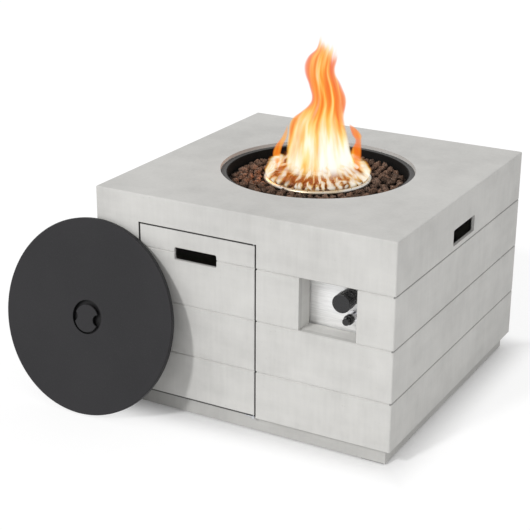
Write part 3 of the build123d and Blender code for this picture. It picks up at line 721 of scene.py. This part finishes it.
# Low flames along the ring
SWIRL = 0.34
LOW_RISE = 3  # how much its noise is drawn up
LOW_TAPER = 3.0
LOW_PARTED = (0.41, 0.51)
LOW_LEAN = (0.15, 1.3)  # inwards, least and what noise adds
LOW_SKIN = (0.003, 0.015)  # thins out this far from its leaning sheet
LOW_TOP = (0.034, 0.060)
LOW_INSET = 0.004  # from the ring's outside
LOW_HEAT = (0.20, 1.15)  # least and what noise adds
SMALL_HEAT = 0.24
LOOSE_HEAT = 1.5

# Haze inside the ring
HAZE_REACH = (0.10, 0.13)
HAZE_TOP = (0.01, 0.05)

# Gas
FLAME_COLOURS = (
    (0.00, (0.88, 0.13, 0.030)),
    (0.28, (1.00, 0.22, 0.018)),
    (0.50, (1.05, 0.48, 0.060)),
    (0.72, (1.08, 0.80, 0.27)),
    (0.88, (1.10, 1.00, 0.66)),
    (1.00, (1.08, 1.06, 0.98)),
)
FLAME_DENSITY = 52.0
LOW_DENSITY = 1.8  # times the main flame's
LOOSE_DENSITY = 2.0
HAZE_DENSITY = 0.10
FLAME_STEP = 0.12

# Room that the gas fills: height over the burner, radius
FLAME_ROOM = ((-0.004, 0.128), (0.02, 0.140), (0.13, 0.138), (0.17, 0.105), (0.44, 0.095))
ROOM_SIDES = 40


def flame_path(gas, share, shape, top):
    """Drift and half width of a flame at a share of its top height."""
    drift_curve = [(h / top, 0.5 + drift / DRIFT_SPAN) for h, drift, _ in shape]
    width_curve = [(h / top, width / WIDTH_SPAN) for h, _, width in shape]
    drift = (gas.curve(share, drift_curve) - 0.5) * DRIFT_SPAN
    width = gas.curve(share, width_curve) * WIDTH_SPAN
    return drift, width


def main_flame(gas, to_side, to_back, rise):
    """How full the main flame is at a point, how hot, and the streaks in it."""
    height = rise / FLAME_TOP
    drift, width = flame_path(gas, height, FLAME_SHAPE, FLAME_TOP)
    side, back = (to_side - drift) / width, to_back / width
    flow = gas.node("CombineXYZ", {}, {
        0: side + drift * STREAK_BEND,
        1: back * STREAK_DEEP,
        2: height * STREAK_HIGH,
    })
    drawn_out = gas.node("Mapping", {}, {"Vector": flow, "Scale": (1, 1, 0.42)})
    streaks = gas.cloud(3.4, 4, vector=drawn_out, roughness=0.55)
    licks = (gas.cloud(1.1, 2, vector=flow) - 0.5) * 0.5
    reach = length(side, back) + licks
    torn = (height + side * 0.05).step(*FLAME_TORN)
    in_streaks = (streaks - torn * 0.75).step(0.10, 0.34)
    full = (1 - reach.step(*FLAME_RIM)) * in_streaks * rise.step(*FLAME_FOOT)
    low_light = 1 - height.step(0.0, FLAME_LIT)
    edge = reach * reach
    heat = HEAT + low_light * FOOT_HEAT - edge * edge * RIM_COOLING + (streaks - 0.5) * STREAK_HEAT
    return full, heat, streaks


def loose_tongue(gas, to_side, to_back, rise, tongue):
    """How full a small flame beside the main one is at a point."""
    behind, bottom, top, shape = tongue
    drift, width = flame_path(gas, rise / top, shape, top)
    reach = length(to_side - drift, to_back - behind) / width
    return (1 - reach.step(*TONGUE_RIM)) * (rise > bottom) * (rise < top)


def low_flames(gas, x, y, rise, ring_reach):
    """How full the curling flames along the ring are at a point, and what parts them."""
    out = length(x, y)
    swirl = (gas.cloud(20.0, 1) - 0.5) * SWIRL
    way = gas.node("CombineXYZ", {}, {0: x / out + swirl, 1: y / out - swirl, 2: rise * LOW_RISE})
    lean = LOW_LEAN[0] + LOW_LEAN[1] * gas.cloud(3.2, 2, vector=way)
    off_sheet = abs(out - (ring_reach - LOW_INSET - rise * lean))
    parting = gas.cloud(12.0, 2, vector=way)
    parted = (parting - rise * LOW_TAPER).step(*LOW_PARTED)
    full = (1 - off_sheet.step(*LOW_SKIN)) * parted * (1 - rise.step(*LOW_TOP))
    return full, parting


def flame_gas():
    """Soft glowing streaks that rise from the burner ring, draw together and break up."""
    gas = Finish("flame")
    ring_high = low_high("burner_ring")[1]
    x, y, z = gas.axes()
    rise = z - ring_high.z
    to_side = x * cos(FLAME_DRIFTS) + y * sin(FLAME_DRIFTS)
    to_back = y * cos(FLAME_DRIFTS) - x * sin(FLAME_DRIFTS)
    body, heat, streaks = main_flame(gas, to_side, to_back, rise)
    low, parting = low_flames(gas, x, y, rise, ring_high.x)
    loose = loose_tongue(gas, to_side, to_back, rise, LEFT_TONGUE)
    loose = loose.most(loose_tongue(gas, to_side, to_back, rise, RIGHT_TONGUE))
    haze = (1 - length(x, y).step(*HAZE_REACH)) * (1 - rise.step(*HAZE_TOP))

    full = body.most(low * LOW_DENSITY).most(loose * LOOSE_DENSITY).most(haze * HAZE_DENSITY)
    low_heat = low * (LOW_HEAT[0] + parting * LOW_HEAT[1])
    small_heat = SMALL_HEAT + low_heat + loose * (streaks - 0.42) * LOOSE_HEAT
    in_body = body.step(0.0, 0.2)
    warmth = gas.node("Mix", {"data_type": "FLOAT"}, {0: in_body, 2: small_heat, 3: heat})
    colour = gas.ramp(warmth, FLAME_COLOURS)
    strength = full * FLAME_DENSITY
    dark = gas.node("VolumeAbsorption", {}, {"Color": (0, 0, 0, 1), "Density": strength})
    glow = gas.node("Emission", {}, {"Color": colour, "Strength": strength})
    gas.finish_with(gas.node("AddShader", {}, {0: dark, 1: glow}), "Volume")
    gas.block.cycles.volume_step_rate = FLAME_STEP
    return gas.block


def flame():
    """The room that the flame fills, as a turned skin round its gas."""
    burner = low_high("burner_ring")[1].z
    points = [(0, 0, burner + FLAME_ROOM[0][0])]
    for rise, radius in FLAME_ROOM:
        for k in range(ROOM_SIDES):
            turn = tau * k / ROOM_SIDES
            points.append((radius * cos(turn), radius * sin(turn), burner + rise))
    points.append((0, 0, burner + FLAME_ROOM[-1][0]))
    last = len(points) - 1
    faces = []
    for k in range(ROOM_SIDES):
        beside = (k + 1) % ROOM_SIDES
        for row in range(len(FLAME_ROOM) - 1):
            low = 1 + row * ROOM_SIDES
            high = low + ROOM_SIDES
            faces.append((low + k, low + beside, high + beside, high + k))
        faces.append((0, 1 + beside, 1 + k))
        faces.append((last, last - ROOM_SIDES + k, last - ROOM_SIDES + beside))
    room = put_in_scene("flame", mesh_from("flame", points, faces))
    room.data.materials.append(flame_gas())
    room.visible_shadow = False
    room.visible_diffuse = False


# Stage -----------------------------------------------------------------------

FLOOR_SIDE = 60.0
FLOOR_COLOUR = (0.97, 0.97, 0.97, 1)
FLOOR_WHITE = 1.12
FLOOR_GLOW = 0.66  # share of the floor's own white, away from the plinth
FLOOR_GLOW_NEAR = 0.12
FLOOR_SHADE_REACH = 0.11
WHITE = (1, 1, 1, 1)

SKY = 0.67
SUN = 1.24
SUN_SOFTNESS = radians(6)
SUN_FROM = (-0.23, -0.79, 0.57)
FIRE_POWER = 0.22
FIRE_COLOUR = (1.0, 0.42, 0.16)
FIRE_SIZE = 0.03
FIRE_PLACE = (-0.10, -0.07)
FIRE_RISE = 0.022  # over the burner

VIEW_AZIMUTH = radians(29.02)
VIEW_ELEVATION = radians(21.09)
VIEW_ROLL = radians(0.33)
VIEW_PLACE = (1.543, -3.058, 1.622)
PICTURE_SIDE = 530
FOCAL_PIXELS = 1391
SENSOR = 36.0


def camera_ray_share(finish):
    """1 for rays from the camera, off a mirror or through glass, else 0."""
    names = ("Is Camera Ray", "Is Glossy Ray", "Is Transmission Ray")
    seen, mirrored, through = finish.outputs(finish.node("LightPath"), names)
    return seen.most(mirrored).most(through)


def white_floor():
    """A white floor that keeps the table's shadow, and glows less close to the plinth as a painted
    shade round it.
    """
    finish = Finish("white_floor")
    matt = finish.node("BsdfDiffuse", {}, {"Color": FLOOR_COLOUR})
    glow = finish.node("Emission", {}, {"Color": WHITE, "Strength": FLOOR_WHITE})
    x, y, _ = finish.axes()
    plinth = low_high("plinth_right")[1].x
    # Painted shade: less glow close to the plinth darkens the floor there.
    away = (abs(x).most(abs(y)) - plinth).step(0.0, FLOOR_SHADE_REACH)
    glow_share = FLOOR_GLOW_NEAR + (FLOOR_GLOW - FLOOR_GLOW_NEAR) * away
    share = camera_ray_share(finish) * glow_share
    finish.finish_with(finish.node("MixShader", {}, {0: share, 1: matt, 2: glow}))
    half = FLOOR_SIDE / 2
    corners = [(-half, -half, 0), (half, -half, 0), (half, half, 0), (-half, half, 0)]
    floor = put_in_scene("floor", mesh_from("floor", corners, [(0, 1, 2, 3)]))
    floor.data.materials.append(finish.block)


def sky():
    """A plain soft sky, which the camera sees as white."""
    finish = Finish("sky", bpy.data.worlds)
    strength = SKY + (1.0 - SKY) * camera_ray_share(finish)
    light = finish.node("Background", {}, {"Color": WHITE, "Strength": strength})
    finish.node("OutputWorld", {}, {"Surface": light})
    bpy.context.scene.world = finish.block


def sun():
    lamp = bpy.data.lights.new("sun", "SUN")
    lamp.energy = SUN
    lamp.angle = SUN_SOFTNESS
    turn = Vector(SUN_FROM).to_track_quat("Z", "Y")
    put_in_scene("sun", lamp).rotation_euler = turn.to_euler()


def fire_light():
    """The warm glow that the flame throws on the rocks beside the burner."""
    lamp = bpy.data.lights.new("fire_light", "POINT")
    lamp.energy = FIRE_POWER
    lamp.color = FIRE_COLOUR
    lamp.shadow_soft_size = FIRE_SIZE
    height = low_high("burner_ring")[1].z + FIRE_RISE
    put_in_scene("fire_light", lamp).location = (*FIRE_PLACE, height)


def camera():
    lens = bpy.data.cameras.new("view")
    lens.sensor_width = SENSOR
    lens.lens = FOCAL_PIXELS / PICTURE_SIDE * SENSOR
    round_table = Matrix.Rotation(VIEW_AZIMUTH, 4, "Z")
    down = Matrix.Rotation(pi / 2 - VIEW_ELEVATION, 4, "X")
    roll = Matrix.Rotation(VIEW_ROLL, 4, "Z")
    placed = put_in_scene("view", lens)
    placed.matrix_world = Matrix.Translation(VIEW_PLACE) @ (round_table @ down) @ roll
    bpy.context.scene.camera = placed


camera()
sky()
sun()
fire_light()
white_floor()
dress_nodes()
lava_stones()
burner_ports()
flame()
bpy.context.scene.view_settings.view_transform = "Standard"
